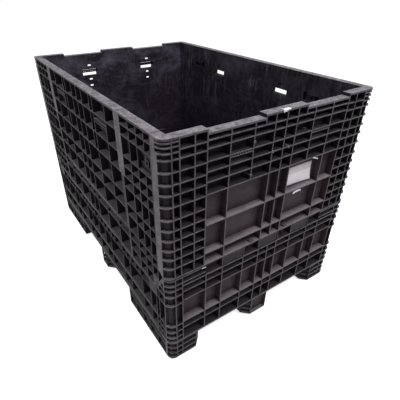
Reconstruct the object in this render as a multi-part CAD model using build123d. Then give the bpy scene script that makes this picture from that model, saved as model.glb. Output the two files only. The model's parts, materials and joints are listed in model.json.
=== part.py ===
"""Collapsible bulk container: a ribbed plastic base on nine feet, four folding walls and two drop doors.

Frame: +Z up, +Y along the long sides, origin under the middle of the container on the floor.
Each wall and base panel is drawn in its own outside view, where X runs to the right, Y runs inwards
from the outer face and Z is the real height, and is then turned into place by on_side().
"""

import os
from math import cos, hypot, radians, sin

from build123d import *

# ---- Overall size (mm) ----
LENGTH = 1778.0
WIDTH = 1219.0
HEIGHT = 1248.0  # to the raised rim

# ---- Mouldings ----
WALL = 45.0  # thickness of every wall and base panel
SKIN = 7.0  # closed inner skin behind the open outer cells
RIB = 5.5
CORNER_R = 32.0
CORE_DEPTH = 14.0  # from the edge of the ribs round a corner in to its rounded core
RIM = 9.0  # solid band along the top of each wall
RIM_STEP = 15.0  # how far the end rims drop between their raised parts
RIM_LOWERED = (124.0, 410.0)  # where an end rim is lower, out from its middle
RIM_BEVEL = 4.0  # along the inner top edge of a base panel
GAP = 2.0  # gap between mouldings at a parting line
OVER = 1.0  # how far a cutting shape, or a joined one, runs past a face

# ---- Levels ----
FOOT_TOP = 138.0
DECK_T = 32.0
DECK_SKIN = 10.0
DECK_PITCH = 230.0  # about how far apart the ribs under the deck are
LEFT_SPLIT = 460.0  # underside of the left wall
END_SPLIT = 586.0  # underside of the end walls
DOOR_SPLIT = 640.0  # underside of the doors

# ---- Wall hinges ----
HINGE_DEPTH = 35.0  # pin axis in from the outer face
HINGE_DROP = 38.0  # pin axis below the wall
KNUCKLE_R = 10.0
PIN_R = 5.0
PIN_PLAY = 0.08  # radial running clearance on every hinge rod
BORE_END = 28.0  # how far a rod's bore runs on past the last lug's recess
ROD_SHORT = 0.5  # how much a rod is short of its bore at each end
RECESS_W = 96.0
RECESS_DROP = 20.0  # recess floor below the pin axis
LUG_PLAY = 3.0  # side clearance of a lug in its recess
END_HINGES = (-352.0, -118.0, 118.0, 352.0)
SIDE_HINGE_INSET = 233.0  # the last hinge of a side wall, in from the end of the container
CLIP_HALF = 11.0
CLIP_T = 3.0
CLIP_RISE = 15.0  # top of a clip above the wall's lower edge
CLIP_HOOK = (20.0, 5.0)  # how far the upper hook stands out, and its height
CLIP_TOE = (5.0, 4.0)

# ---- Doors ----
DOOR_HALF = 517.0
DOOR_PIN_DEPTH = 7.5
DOOR_PIN_R = 4.0
DOOR_KNUCKLE_R = 7.5
DOOR_KNUCKLE_W = 60.0
DOOR_HINGE_INSET = 187.0  # the last hinge of a door, in from its edge
DOOR_SWING = 155.0  # degrees from shut to resting on its sloped ledge
DOOR_REST_GAP = 0.6
DOOR_PIN_RISE = 5.5  # pin axis above the door's lower edge
DOOR_ROD_END = 4.0  # how far a door's rod stands out of its last knuckles
DOOR_RELIEF = 20.0  # how deep the lower edge of a door is cut back round the hinge
RELIEF_TOP = 2.0  # from the knuckles up to the top of that cut
KNUCKLE_GAP = 2.0  # between neighbouring knuckles of a door hinge
WEB = (12.5, 18.5)  # the web that carries a sill knuckle, in from the outer face
WEB_ROOT = 8.0  # how deep it stands in the sill

# ---- Latches ----
BOLT_TRAVEL = 20.0
BOLT_PLAY = 0.5
LATCH_POCKET = 14.0  # depth of the pocket in front of a corner bolt
KEEPER_PLAY = 2.0
BOLT_INSET = 1.0  # of a withdrawn corner bolt's nose in from the wall's end
CORNER_BOLT_DROP = 136.0  # below the raised rim
CORNER_BOLT_H = 34.0
CORNER_BOLT_T = 16.0
CORNER_BOLT_L = 84.0
GRIP_RISE = 7.0
GRIP = (24.0, 52.0, 3.0)  # from the bolt's tail: start, end, and the inset at its top and bottom
GRIP_HOLLOW = (30.0, 46.0, 9.0)
GRIP_FLOOR = 2.0  # under the hollow, above the bolt's face
DOOR_BOLT_DROP = 126.0
DOOR_BOLT_H = 44.0
DOOR_BOLT_T = 14.0
DOOR_BOLT_L = 58.0
DOOR_BOLT_INSET = 3.0  # of a withdrawn door bolt in from the post's edge
DOOR_BOLT_LIP = (6.0, 8.0)  # thickness and width of the channel's lips over the bolt
DOOR_BOLT_FINGER = (24.0, 8.0, 12.0, 7.0)  # from its end: start and end; inset from its edges; depth
CHANNEL_END = 12.0  # spare length of a door bolt's channel

# ---- Hand slots ----
END_SLOT_COLUMN = (178.0, 300.0)  # the rib lines on each side of a slot
END_SLOT_W = 115.0
DOOR_SLOT_COLUMN = (232.0, 385.0)
DOOR_SLOT_W = 118.0
SLOT_DROP = 160.0  # the slot's lower edge, below the raised rim
FINGER_RISE = 42.0  # how far the slot reaches up behind the rib over it
FINGER_DEPTH = 22.0  # depth of that rib from the outer face
FINGER_SILL = 7.0  # from the slot's lower edge up to the finger room
LIP_DROP = 14.0  # the grip lip under that rib, from rib line to the lip's underside
LIP_T = 4.0
LIP_TEETH = 8
TOOTH_INSET = 1.0
DRAIN_W = 24.0
DRAIN_H = 11.0
DRAIN_DROP = 14.0  # middle of a drain slot below the rib line over it

# ---- Feet ----
FOOT_BEVEL = 14.0
CORNER_FOOT = (200.0, 483.0)  # along the end, along the side
FOOT_SLANT = 40.0  # how far the inner flank of a corner foot slants, each way
FOOT_CORNER = 9.6  # of the flat across a corner foot's rounded corner, in from each face
FOOT_COLUMN = 75.5  # the rib line on a corner foot's outer face
FLANK_END = 8.0  # of the ribs along its side, short of its end
END_FOOT = (58.0, 100.0, 150.0)  # half width outside, half width inside, depth
SIDE_FOOT = (38.0, 80.0, 160.0)
CENTRE_FOOT = (100.0, 80.0)  # half sizes
FOOT_SHELL = 52.0  # of a corner foot, from the outer faces
FOOT_WALL = 12.0
FOOT_SOLE = 12.0

# ---- Worked out from the sizes above ----
HALF_L = LENGTH / 2
HALF_W = WIDTH / 2
DECK_TOP = FOOT_TOP + DECK_T
CELL_DEPTH = WALL - SKIN
RIGHT_SPLIT = LEFT_SPLIT + WALL + GAP  # so the right wall folds flat over the left one
END_PIN = END_SPLIT - HINGE_DROP
POST_REACH = HINGE_DEPTH + END_PIN - RIGHT_SPLIT  # the corner posts fold down beside the right rim
SIDE_START = POST_REACH + GAP
POST_HALF = HALF_L - SIDE_START
SHOULDER_TOP = END_SPLIT - 1.5 * GAP
SHOULDER_SLOPE = 1.7
SHOULDER_FLAT = 4.0  # its small bevel under the end wall
SHOULDER_START = WALL + 3.0
COLUMN_HALF = HALF_W - WALL  # where the end panels meet the corner columns
LUG_FACE = HINGE_DEPTH - KNUCKLE_R  # outer face of a lug
POST_EDGE = DOOR_HALF + GAP
SILL_TOP = DOOR_SPLIT - 2 * GAP
DOOR_PIN_Z = DOOR_SPLIT + DOOR_PIN_RISE
CORNER_BOLT_Z = HEIGHT - CORNER_BOLT_DROP
DOOR_BOLT_Z = HEIGHT - DOOR_BOLT_DROP
SLOT_LOW = HEIGHT - SLOT_DROP
LAST_SIDE_HINGE = HALF_L - SIDE_HINGE_INSET
SIDE_HINGES = (-LAST_SIDE_HINGE, -LAST_SIDE_HINGE / 2, 0.0, LAST_SIDE_HINGE / 2, LAST_SIDE_HINGE)
LAST_DOOR_HINGE = DOOR_HALF - DOOR_HINGE_INSET
DOOR_HINGES = (-LAST_DOOR_HINGE, 0.0, LAST_DOOR_HINGE)


# ---- Rib lines of each panel ----
def below(top, *drops):
    """Rib lines at fixed distances under a level."""
    return tuple(top - drop for drop in drops)


def above(bottom, *rises):
    """Rib lines at fixed distances over a level."""
    return tuple(bottom + rise for rise in rises)


def between(low, high, *shares):
    """Rib lines spread between two levels, each given as a share of the way up."""
    return tuple(low + share * (high - low) for share in shares)


END_COLUMNS = (-412.0, -300.0, -178.0, -66.0, 0.0, 66.0, 178.0, 300.0, 412.0)
END_ROWS = below(HEIGHT, 45.0, 78.0, 131.0, 176.0, 222.0, 279.0)
END_FOOT_ROW = END_SPLIT + 5.0
END_WIDE_COLUMNS = (-412.0, -300.0, -66.0, 0.0, 66.0, 300.0, 412.0)
END_WIDE_ROWS = between(END_FOOT_ROW, END_ROWS[-1], 1.0, 0.59, 0.175, 0.0)
END_OUTER_COLUMNS = (412.0, 468.0, COLUMN_HALF - 30.5)
END_OUTER_ROWS = below(HEIGHT, 49.0, 84.0, 134.0, 185.0, 230.0, 282.0)
END_OUTER_ROWS += between(END_FOOT_ROW, END_OUTER_ROWS[-1], 0.837, 0.696, 0.56, 0.421, 0.291, 0.155, 0.0)
COLUMN_ROWS = below(HEIGHT, 18.0, 35.0, 57.0) + END_OUTER_ROWS[1:]
POST_FOOT = above(END_SPLIT, 6.0, 24.0)  # the sloped underside of a corner post
POST_COLUMNS = (POST_EDGE + 109.0, POST_HALF - 114.0, POST_HALF - 51.0)
LATCH_ROWS = below(HEIGHT, 183.0, 89.0)
POST_ROWS = below(HEIGHT, 42.0, 89.0, 183.0, 233.0, 287.0, 344.0)
POST_NARROW = 4  # the row of these under which the flat band beside the door gets narrow
POST_FOOT_RISE = 12.0  # lowest rib line of a side wall above its underside
POST_LIP = 1.0  # from a side wall's end in to its last rib line
POST_BAND = 26.0  # width of the flat band beside the door, and of its narrow part further down
POST_BAND_LOW = 9.0
POST_SHARES = (0.785, 0.643, 0.423, 0.304, 0.156)  # the rib lines from there up to the last of POST_ROWS
DOOR_COLUMNS = (0.0, 80.0, 190.0, 232.0, 385.0, DOOR_HALF - POST_BAND)
DOOR_ROWS = below(HEIGHT, 86.0, 186.0, 283.0)
DOOR_LOW_COLUMNS = (0.0, 80.0, 232.0, 385.0, DOOR_HALF - POST_BAND_LOW)
DOOR_LOW_ROWS = between(DOOR_SPLIT + 22.0, DOOR_ROWS[-1], 1.0, 0.627, 0.36, 0.0)
SILL_COLUMNS = (0.0, 80.0, 232.0, 385.0, DOOR_HALF - 3.0)
SILL_ROWS = below(SILL_TOP, 10.0, 40.0)
BASE_END_COLUMNS = (0.0, 64.0, 168.0, 300.0, 398.0, COLUMN_HALF - 34.5)
BASE_END_ROWS = below(END_SPLIT, 64.0, 103.0, 159.0) + above(FOOT_TOP, 135.0, 90.0, 6.0)
BASE_COLUMN_ROWS = below(END_SPLIT, 8.0, 42.0, 73.0, 114.0, 172.0) + above(FOOT_TOP, 128.0, 83.0, 40.0, 6.0)
BASE_SIDE_COLUMNS = (0.0, 110.0, 200.0, 380.0, 470.0, HALF_L - 269.0, HALF_L - 174.0)
BASE_SIDE_ROWS = above(FOOT_TOP, 139.0, 122.0, 35.0)
FOOT_ROWS = above(0.0, FOOT_BEVEL + 6.0, 55.0, 95.0, FOOT_TOP - 4.0)
FOOT_CELL = 12.0  # depth of the cells in the feet
FOOT_RECESS = 18.0  # depth of the recess in the face of a middle foot
PANEL_DEPTH = 3.0  # of the plain panels between the end hinges
HINGE_CELL = 22.0  # depth of the cells in front of a hinge rod's bore

os.makedirs("parts", exist_ok=True)


# ---- Small helpers ----
def block(x0, x1, y0, y1, z0, z1):
    """A box between two values along each axis."""
    return Pos((x0 + x1) / 2, (y0 + y1) / 2, (z0 + z1) / 2) * Box(x1 - x0, y1 - y0, z1 - z0)


def rod(x0, x1, y, z, radius):
    """A round bar along X."""
    return Pos((x0 + x1) / 2, y, z) * Rot(0, 90, 0) * Cylinder(radius, x1 - x0)


def prism_yz(points, x0, x1):
    """A profile in Y and Z, drawn out along X."""
    face = Face(Wire.make_polygon([Vector(x0, y, z) for y, z in points], close=True))
    return Solid.extrude(face, Vector(x1 - x0, 0, 0))


def prism_xy(points, z0, z1):
    """A plan outline, drawn up along Z."""
    face = Face(Wire.make_polygon([Vector(x, y, z0) for x, y in points], close=True))
    return Solid.extrude(face, Vector(0, 0, z1 - z0))


def mirrored(lines):
    """Rib lines given on one side of the middle, on both sides of it."""
    return sorted({-line for line in lines} | set(lines))


def cells(columns, rows, depth=CELL_DEPTH, skip=()):
    """Open cells between rib lines, cut from the outer face. skip holds the (column, row) left uncut."""
    columns = sorted(columns)
    rows = sorted(rows)
    return [
        block(left + RIB / 2, right - RIB / 2, -OVER, depth, low + RIB / 2, high - RIB / 2)
        for i, (left, right) in enumerate(zip(columns, columns[1:]))
        for j, (low, high) in enumerate(zip(rows, rows[1:]))
        if (i, j) not in skip
    ]


def cut(solid, tools):
    """The solid less a list of tools, as one solid."""
    return (solid - tools).solid() if tools else solid


SIDES = {"front": (0, HALF_L), "left": (-90, HALF_W), "back": (180, HALF_L), "right": (90, HALF_W)}


def on_side(shape, side):
    """Turns a panel from its own outside view to its place on a side of the container."""
    angle, half = SIDES[side]
    return Rot(0, 0, angle) * Pos(0, -half, 0) * shape


def keep(name, *shapes):
    """Writes one node from its solids."""
    solids = [solid for shape in shapes for solid in shape.solids()]
    export_step(solids[0] if len(solids) == 1 else Compound(children=solids), f"parts/{name}.step")


# ---- Hinges ----
def lug(x, split):
    """A hinge lug under a wall, round about its pin."""
    half = RECESS_W / 2 - LUG_PLAY
    pin_z = split - HINGE_DROP
    leaf = block(x - half, x + half, LUG_FACE, WALL, pin_z, split + OVER)
    body = leaf + rod(x - half, x + half, HINGE_DEPTH, pin_z, KNUCKLE_R)
    return body - rod(x - half - OVER, x + half + OVER, HINGE_DEPTH, pin_z, PIN_R + PIN_PLAY)


def recesses(hinges, split):
    """The spaces in a base panel for a wall's lugs, open through it, and the rod's bore along them all."""
    pin_z = split - HINGE_DROP
    half = RECESS_W / 2
    low = pin_z - RECESS_DROP
    spaces = [block(x - half, x + half, -OVER, WALL + OVER, low, split + OVER) for x in hinges]
    end = hinges[-1] + half + BORE_END
    return spaces + [rod(-end, end, HINGE_DEPTH, pin_z, PIN_R + PIN_PLAY)]


def hinge_rod(hinges, split):
    """The steel rod through all of a wall's lugs, a little short of its bore at each end."""
    end = hinges[-1] + RECESS_W / 2 + BORE_END - ROD_SHORT
    return rod(-end, end, HINGE_DEPTH, split - HINGE_DROP, PIN_R)


def rim_bevel(half, top):
    """The bevel along the inner top edge of a base panel, which the wall's lower edge swings over."""
    start = WALL - RIM_BEVEL
    end = WALL + OVER
    points = [(start, top), (end, top - RIM_BEVEL - OVER), (end, top + OVER), (start, top + OVER)]
    return prism_yz(points, -half - OVER, half + OVER)


# ---- End walls ----
def end_wall():
    """The flat part of an end wall, between its corner posts."""
    body = block(-COLUMN_HALF, COLUMN_HALF, 0, WALL, END_SPLIT, HEIGHT)
    low_rim = HEIGHT - RIM_STEP
    near, far = RIM_LOWERED
    lowered = [
        block(start, stop, -OVER, WALL + OVER, low_rim, HEIGHT + OVER)
        for start, stop in ((-far, -near), (near, far))
    ]
    tools = cells(END_COLUMNS, END_ROWS) + cells(END_WIDE_COLUMNS, END_WIDE_ROWS)
    rim_row = HEIGHT - RIM + RIB / 2
    step = near - RIB / 2
    tools += cells((-step, *END_COLUMNS[3:6], step), (rim_row, END_ROWS[0]))
    for side in (-1, 1):
        lowered_columns = [side * x for x in (step, *END_COLUMNS[6:])]
        tools += cells(lowered_columns, (rim_row - RIM_STEP, END_ROWS[0]))
        tools += cells([side * x for x in END_OUTER_COLUMNS], (rim_row,) + END_OUTER_ROWS)
        last = [side * x for x in (END_OUTER_COLUMNS[-1], COLUMN_HALF + RIB / 2)]
        tools += cells(last, (rim_row,) + COLUMN_ROWS)
        x = side * sum(END_SLOT_COLUMN) / 2
        tools += hand_slot(x, END_SLOT_W, (END_ROWS[1], END_ROWS[3], END_ROWS[4]))
    for x in END_HINGES[1:3]:
        half = CLIP_HALF + OVER
        front = LUG_FACE - CLIP_T - OVER
        tools.append(block(x - half, x + half, front, LUG_FACE, END_SPLIT - OVER, END_FOOT_ROW + RIB))
    body = cut(body, lowered + tools)
    for side in (-1, 1):
        body += grip_lip([side * x for x in END_SLOT_COLUMN], END_ROWS[2])
    for x in END_HINGES:
        body += lug(x, END_SPLIT)
    return body.solid()


def hand_slot(x, width, rows):
    """A hand slot through the skin of a cell, with finger room up behind the rib over it, and drain holes."""
    top = SLOT_LOW + FINGER_RISE
    start = CELL_DEPTH - OVER
    end = WALL + OVER
    slot = block(x - width / 2, x + width / 2, start, end, SLOT_LOW, top)
    fingers = block(x - width / 2, x + width / 2, FINGER_DEPTH, end, SLOT_LOW + FINGER_SILL, top)
    left, right = x - DRAIN_W / 2, x + DRAIN_W / 2
    drains = [
        block(left, right, start, end, z - DRAIN_H / 2, z + DRAIN_H / 2)
        for z in (row - DRAIN_DROP for row in rows)
    ]
    return [slot, fingers] + drains


def grip_lip(column, row):
    """A thin lip under the rib over a hand slot, held to it by teeth."""
    left, right = sorted(column)
    low = row - LIP_DROP
    lip = block(left, right, 0, FINGER_DEPTH, low, low + LIP_T)
    pitch = (right - left) / (LIP_TEETH + 1)
    for i in range(LIP_TEETH):
        x = left + pitch * (i + 1)
        lip += block(x - LIP_T / 2, x + LIP_T / 2, TOOTH_INSET, FINGER_DEPTH, low + LIP_T / 2, row)
    return lip


def corner_post(side):
    """A corner post of an end wall: ribbed round its outer corner, flat along the side of the container."""
    low, high = POST_FOOT
    outline = [(0, END_SPLIT), (0, HEIGHT), (POST_REACH, HEIGHT), (POST_REACH, high)]
    outline += [(WALL, low), (WALL, END_SPLIT)]
    body = round_corner(prism_yz(outline, 0, WALL))
    half = CORNER_BOLT_H / 2 + KEEPER_PLAY
    keeper_end = POST_REACH - BOLT_TRAVEL - 2 * KEEPER_PLAY
    keeper = block(LATCH_POCKET - KEEPER_PLAY, LATCH_POCKET + CORNER_BOLT_T + KEEPER_PLAY,
                   keeper_end, POST_REACH + OVER, CORNER_BOLT_Z - half, CORNER_BOLT_Z + half)
    notches = corner_cells((HEIGHT - RIM + RIB / 2,) + COLUMN_ROWS, open_rows=3)
    body = cut(body, notches + [keeper])
    return to_corner(body, side)


def round_corner(body):
    """Rounds the upright outer edge at X = 0, Y = 0."""
    edge = body.edges().filter_by(Axis.Z).sort_by_distance((0, 0, (END_SPLIT + HEIGHT) / 2))[0]
    return body.fillet(CORNER_R, [edge])


def corner_cells(rows, open_rows=0):
    """Notches between the ribs that run round a corner, down to its rounded core or, at the top, deeper."""
    rows = sorted(rows)
    notches = []
    for i, (low, high) in enumerate(zip(rows, rows[1:])):
        cored = i < len(rows) - 1 - open_rows
        notch = block(-OVER, WALL - RIB, -OVER, CORNER_R if cored else WALL, low + RIB / 2, high - RIB / 2)
        if cored:
            core = block(CORE_DEPTH, WALL, CORE_DEPTH, WALL, low, high)
            edge = core.edges().filter_by(Axis.Z).sort_by_distance((0, 0, (low + high) / 2))[0]
            notch -= core.fillet(CORNER_R - CORE_DEPTH, [edge])
        notches.append(notch)
    return notches


def to_corner(body, side):
    """Moves a column drawn with its outer corner at X = 0 to the left or right end of an end panel."""
    return Pos(-HALF_W, 0, 0) * body if side < 0 else mirror(Pos(-HALF_W, 0, 0) * body, Plane.YZ)


def end_clip(x):
    """The clip that holds the rod in a lug: a leaf through a slot in the wall's foot, hooked at both ends."""
    top = END_SPLIT + CLIP_RISE
    front = LUG_FACE - CLIP_T
    out, high = CLIP_HOOK
    toe_out, toe_high = CLIP_TOE
    leaf = block(x - CLIP_HALF, x + CLIP_HALF, front, LUG_FACE, END_PIN, top)
    hook = block(x - CLIP_HALF, x + CLIP_HALF, front - out, front, top - high, top)
    toe = block(x - CLIP_HALF, x + CLIP_HALF, front - toe_out, front, END_PIN, END_PIN + toe_high)
    return leaf + hook + toe


# ---- Side walls ----
def shoulder_z(y, clearance=0.0):
    """Height of the base's sloped shoulder, y in from the end of the container."""
    return SHOULDER_TOP - SHOULDER_SLOPE * (y - WALL) + clearance * hypot(1, SHOULDER_SLOPE)


def shoulder_end(split):
    """Where the shoulder comes down to the top of a base side panel."""
    return WALL + (SHOULDER_TOP - split + GAP) / SHOULDER_SLOPE


def side_post(split, side):
    """One end of a side wall, from the corner post to the door."""
    foot_y = WALL + (shoulder_z(WALL, GAP) - split) / SHOULDER_SLOPE
    foot = HALF_L - foot_y
    start_z = shoulder_z(SIDE_START, GAP)
    points = [(POST_EDGE, split), (foot, split), (POST_HALF, start_z)]
    points += [(POST_HALF, HEIGHT), (POST_EDGE, HEIGHT)]
    wire = Wire.make_polygon([Vector(x, 0, z) for x, z in points], close=True)
    body = Solid.extrude(Face(wire), Vector(0, WALL, 0))
    top = HEIGHT - RIM + RIB / 2
    high_rows = (top,) + POST_ROWS[:POST_NARROW + 1]
    low_rows = POST_ROWS[POST_NARROW:] + between(split + POST_FOOT_RISE, POST_ROWS[-1], *POST_SHARES)
    columns = (POST_EDGE + POST_BAND,) + POST_COLUMNS
    low_columns = (POST_EDGE + POST_BAND_LOW,) + POST_COLUMNS
    bolt_row = sorted(high_rows).index(LATCH_ROWS[0])
    tools = cells(columns, high_rows, skip=[(0, bolt_row), (2, bolt_row)])
    tools += cells(low_columns, low_rows)
    tools += cells(columns[:2], LATCH_ROWS, depth=WALL - DOOR_BOLT_T - SKIN)
    edge = (POST_COLUMNS[-1], POST_HALF - POST_LIP)
    tools += cells(edge, high_rows, skip=[(0, bolt_row)]) + cells(edge, low_rows)
    inner = [x for x in low_columns if x < foot - RIB]
    tools += cells(inner, (min(low_rows), split + POST_FOOT_RISE))
    tools += corner_bolt_channel()
    tools += door_bolt_channel()
    body = cut(body, tools)
    for x in SIDE_HINGES:
        if x > POST_EDGE:
            body += lug(x, split)
    body = body.solid()
    return body if side > 0 else mirror(body, Plane.YZ)


def corner_bolt_channel():
    """The latch pocket in the outer face, with a deeper channel for the bolt and its way out of the end."""
    half = CORNER_BOLT_H / 2 + BOLT_PLAY
    start = POST_COLUMNS[1] + RIB / 2
    low, high = LATCH_ROWS
    pocket = block(start, POST_HALF - RIB, -OVER, LATCH_POCKET, low + RIB / 2, high - RIB / 2)
    back = LATCH_POCKET + CORNER_BOLT_T + BOLT_PLAY
    end = POST_HALF + OVER
    channel = block(start, end, LATCH_POCKET - OVER, back, CORNER_BOLT_Z - half, CORNER_BOLT_Z + half)
    return [pocket, channel]


def corner_bolt(side):
    """A sliding bolt with a raised finger grip, drawn withdrawn."""
    nose = POST_HALF - BOLT_INSET
    tail = nose - CORNER_BOLT_L
    low = CORNER_BOLT_Z - CORNER_BOLT_H / 2
    high = CORNER_BOLT_Z + CORNER_BOLT_H / 2
    back = LATCH_POCKET + CORNER_BOLT_T - BOLT_PLAY
    front = LATCH_POCKET - GRIP_RISE
    plate = block(tail, nose, LATCH_POCKET, back, low, high)
    start, end, inset = GRIP
    grip = block(tail + start, tail + end, front, LATCH_POCKET + OVER, low + inset, high - inset)
    start, end, inset = GRIP_HOLLOW
    floor = LATCH_POCKET - GRIP_FLOOR
    finger = block(tail + start, tail + end, front - OVER, floor, low + inset, high - inset)
    body = (plate + grip - finger).solid()
    return body if side > 0 else mirror(body, Plane.YZ)


def door_bolt_channel():
    """A channel in the inner face of a side post, narrower at its mouth, that holds a door bolt."""
    low = DOOR_BOLT_Z - DOOR_BOLT_H / 2 - BOLT_PLAY
    high = DOOR_BOLT_Z + DOOR_BOLT_H / 2 + BOLT_PLAY
    deep = WALL - DOOR_BOLT_T - BOLT_PLAY
    start = POST_EDGE - OVER
    end = POST_EDGE + DOOR_BOLT_L + BOLT_TRAVEL + CHANNEL_END
    thick, wide = DOOR_BOLT_LIP
    inner = block(start, end, deep, WALL - thick + BOLT_PLAY, low, high)
    return [inner, block(start, end, deep, WALL + OVER, low + wide, high - wide)]


def door_bolt(side):
    """A sliding bolt with lips under the channel's mouth, drawn withdrawn."""
    start = POST_EDGE + DOOR_BOLT_INSET
    end = start + DOOR_BOLT_L
    low = DOOR_BOLT_Z - DOOR_BOLT_H / 2
    high = DOOR_BOLT_Z + DOOR_BOLT_H / 2
    back = WALL - DOOR_BOLT_T
    thick, wide = DOOR_BOLT_LIP
    inset = wide + BOLT_PLAY
    plate = block(start, end, back, WALL - thick, low, high)
    face = block(start, end, back, WALL - BOLT_PLAY, low + inset, high - inset)
    near, far, edge, deep = DOOR_BOLT_FINGER
    finger = block(end - near, end - far, WALL - deep, WALL, low + edge, high - edge)
    body = (plate + face - finger).solid()
    return body if side > 0 else mirror(body, Plane.YZ)


def side_sill(split):
    """The fixed panel of a side wall under its door, with the sloped ledge that the open door rests on."""
    body = block(-POST_EDGE, POST_EDGE, 0, WALL, split, SILL_TOP)
    columns = mirrored(SILL_COLUMNS)
    body = cut(body, cells(columns, (split + POST_FOOT_RISE,) + SILL_ROWS))
    ledge = [(-OVER, ledge_z(-OVER)), (WALL / 2, ledge_z(WALL / 2)), (-OVER, ledge_z(WALL / 2))]
    body = cut(body, [prism_yz(ledge, -POST_EDGE - OVER, POST_EDGE + OVER)])
    for x in SIDE_HINGES:
        if abs(x) < POST_EDGE:
            body += lug(x, split)
    for x in DOOR_HINGES:
        body += sill_knuckle(x + DOOR_KNUCKLE_W)
    return body.solid()


def ledge_z(y):
    """Height of the sill's sloped ledge, y in from the outer face: parallel to the open door's outer face."""
    swing = radians(DOOR_SWING)
    out = DOOR_PIN_DEPTH + DOOR_REST_GAP
    return DOOR_PIN_Z - (cos(swing) * (y - DOOR_PIN_DEPTH) + out) / sin(swing)


def knuckle(x, web):
    """A knuckle of a door hinge on its web, bored for the rod."""
    half = (DOOR_KNUCKLE_W - KNUCKLE_GAP) / 2
    body = prism_yz(web, x - half, x + half)
    body += rod(x - half, x + half, DOOR_PIN_DEPTH, DOOR_PIN_Z, DOOR_KNUCKLE_R)
    return body - rod(x - half - OVER, x + half + OVER, DOOR_PIN_DEPTH, DOOR_PIN_Z, DOOR_PIN_R + PIN_PLAY)


def sill_knuckle(x):
    """A knuckle on the sill, carried by a web behind the open door."""
    front, back = WEB
    low = SILL_TOP - WEB_ROOT
    top = (DOOR_PIN_DEPTH + DOOR_KNUCKLE_R, DOOR_PIN_Z)
    return knuckle(x, [(front, low), (back, low), (back, SILL_TOP), top, (front, DOOR_PIN_Z)])


# ---- Doors ----
def door():
    """A drop door, with knuckles along its lower outer edge and keepers for its bolts."""
    body = block(-DOOR_HALF, DOOR_HALF, 0, WALL, DOOR_SPLIT, HEIGHT)
    top = HEIGHT - RIM + RIB / 2
    tools = cells(mirrored(DOOR_COLUMNS), (top,) + DOOR_ROWS)
    tools += cells(mirrored(DOOR_LOW_COLUMNS), DOOR_LOW_ROWS)
    for side in (-1, 1):
        x = side * sum(DOOR_SLOT_COLUMN) / 2
        tools += hand_slot(x, DOOR_SLOT_W, DOOR_ROWS[:2])
        tools.append(door_keeper(side))
    tools.append(hinge_relief())
    body = cut(body, tools)
    for x in DOOR_HINGES:
        body += door_leaf(x)
    return body.solid()


def hinge_relief():
    """The space along the lower outer edge of a door for the sill's knuckles."""
    half = DOOR_HALF + OVER
    top = DOOR_PIN_Z + DOOR_KNUCKLE_R + RELIEF_TOP
    return block(-half, half, -OVER, DOOR_RELIEF, DOOR_SPLIT - OVER, top)


def door_leaf(x):
    """A knuckle of the door between two of the sill's."""
    top = DOOR_PIN_Z + DOOR_KNUCKLE_R + 2 * RELIEF_TOP
    back = DOOR_RELIEF + 2 * OVER
    return knuckle(x, [(0.0, DOOR_PIN_Z), (0.0, top), (back, top), (back, DOOR_PIN_Z)])


def door_keeper(side):
    """The pocket in a door's edge that a bolt enters."""
    half = DOOR_BOLT_H / 2 + KEEPER_PLAY
    low, high = sorted((side * (DOOR_HALF - BOLT_TRAVEL), side * (DOOR_HALF + OVER)))
    back = WALL - DOOR_BOLT_T - KEEPER_PLAY
    return block(low, high, back, WALL + OVER, DOOR_BOLT_Z - half, DOOR_BOLT_Z + half)


def door_rod():
    """The steel rod through all the knuckles of a door and its sill."""
    start = DOOR_HINGES[0] - DOOR_KNUCKLE_W / 2 - DOOR_ROD_END
    end = DOOR_HINGES[-1] + 1.5 * DOOR_KNUCKLE_W + DOOR_ROD_END
    return rod(start, end, DOOR_PIN_DEPTH, DOOR_PIN_Z, DOOR_PIN_R)


# ---- Base ----
def base_end():
    """An end panel of the base, between the corner columns."""
    top = END_SPLIT - GAP
    body = block(-COLUMN_HALF, COLUMN_HALF, 0, WALL, FOOT_TOP, top)
    columns = mirrored(BASE_END_COLUMNS)
    tools = cells(columns, BASE_END_ROWS) + recesses(END_HINGES, END_SPLIT)
    for side in (-1, 1):
        last = [side * x for x in (BASE_END_COLUMNS[-1], COLUMN_HALF + RIB / 2)]
        tools += cells(last, BASE_COLUMN_ROWS, depth=HINGE_CELL)
        outer = [side * x for x in BASE_END_COLUMNS[-2:]]
        tools += cells(outer, BASE_COLUMN_ROWS[:2] + BASE_END_ROWS[:1], depth=HINGE_CELL)
    for left, right in zip(END_HINGES, END_HINGES[1:]):
        panel = (left + RECESS_W / 2, right - RECESS_W / 2)
        tools += cells(panel, (BASE_END_ROWS[0], END_SPLIT - RIB / 2), depth=PANEL_DEPTH)
    tools.append(rim_bevel(COLUMN_HALF, top))
    return cut(body, tools)


def base_column(split, side):
    """A corner column of the base, with the shoulder that slopes down to the side panel."""
    end = shoulder_end(split)
    top = END_SPLIT - GAP
    points = [(0, FOOT_TOP), (0, top), (WALL - SHOULDER_FLAT, top), (WALL, SHOULDER_TOP - SHOULDER_FLAT),
              (SHOULDER_START, shoulder_z(SHOULDER_START)), (end, split - GAP), (end, FOOT_TOP)]
    body = round_corner(prism_yz(points, 0, WALL))
    rows = sorted(BASE_COLUMN_ROWS)
    flank = []
    for low, high in zip(rows, rows[1:]):
        last = min(end, WALL + (SHOULDER_TOP - high) / SHOULDER_SLOPE) - RIB
        for start, stop in ((CORNER_R + RIB, SIDE_START + RIB), (SIDE_START + 2 * RIB, last)):
            stop = min(stop, last)
            if stop - start > RIB:
                flank.append(block(-OVER, CELL_DEPTH - RIB, start, stop, low + RIB / 2, high - RIB / 2))
    return to_corner(cut(body, corner_cells(BASE_COLUMN_ROWS) + flank), side)


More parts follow.
